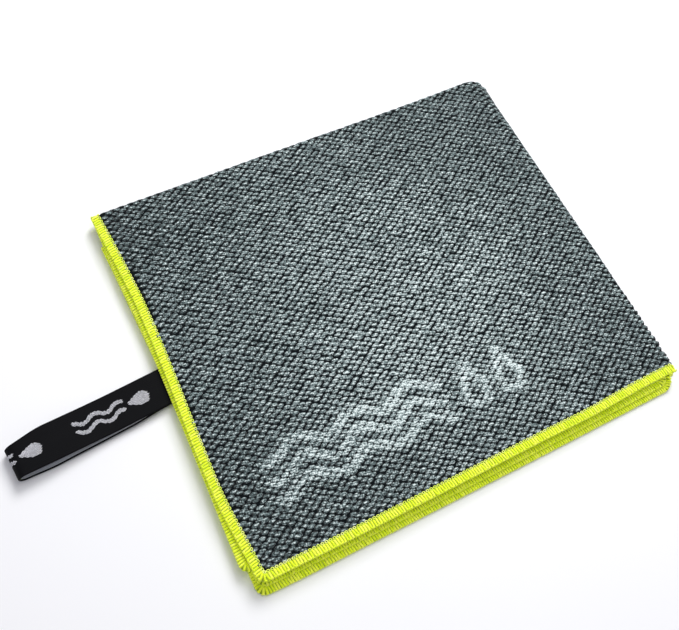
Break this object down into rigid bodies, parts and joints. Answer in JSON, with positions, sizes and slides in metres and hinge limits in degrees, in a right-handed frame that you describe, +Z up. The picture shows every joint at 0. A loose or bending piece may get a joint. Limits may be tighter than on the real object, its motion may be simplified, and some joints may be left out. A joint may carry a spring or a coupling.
{
  "type": "quick dry towel",
  "caption": "Textured knit travel towel, folded in half twice, with bright overlocked edges and a hanging loop of black elastic at one side.",
  "frame": {"origin": "under the middle of the folded towel with its loop, on the surface that it lies on", "axes": "+X along the front edge to the right, away from the loop; +Y from the front edge to the folded back edge; +Z up"},
  "size_m": [0.3415, 0.2256, 0.0093],
  "materials": {
    "towel_cloth": "grey textured microfibre knit, matt",
    "edging_thread": "neon yellow overlock thread, slightly glossy",
    "elastic": "black woven elastic with white woven marks",
    "tack_thread": "black bar tack thread"
  },
  "bodies": {
    "lower_half": {"cloth_bottom": "towel_cloth", "cloth_second": "towel_cloth", "back_fold_lower": "towel_cloth", "overlock_left_bottom": "edging_thread", "overlock_left_second_front": "edging_thread", "overlock_left_second_back": "edging_thread", "overlock_left_turn_lower": "edging_thread", "overlock_front_bottom": "edging_thread", "overlock_front_second": "edging_thread", "right_fold_outer": "towel_cloth", "right_fold_inner": "towel_cloth", "overlock_front_turn_outer": "edging_thread", "overlock_front_turn_inner": "edging_thread", "elastic_tail": "elastic", "bar_tack": "tack_thread"},
    "upper_half": {"cloth_third": "towel_cloth", "cloth_top": "towel_cloth", "back_fold_upper": "towel_cloth", "overlock_left_third": "edging_thread", "overlock_left_top": "edging_thread", "overlock_left_turn_upper": "edging_thread", "overlock_front_third": "edging_thread", "overlock_front_top": "edging_thread"},
    "hanging_loop": {"elastic_loop": "elastic"}
  },
  "joints": [
    {"name": "right_fold", "type": "hinge", "parent": "lower_half", "child": "upper_half", "pos_m": [0.16615, 0, 0.00465], "axis": [0, 1, 0], "range_deg": [0, 180], "deforming": ["right_fold_outer", "right_fold_inner", "overlock_front_turn_outer", "overlock_front_turn_inner"]},
    {"name": "loop_swing", "type": "hinge", "parent": "lower_half", "child": "hanging_loop", "pos_m": [-0.091, 0.0057, 0.00345], "axis": [0, 1, 0], "range_deg": [0, 90]}
  ]
}
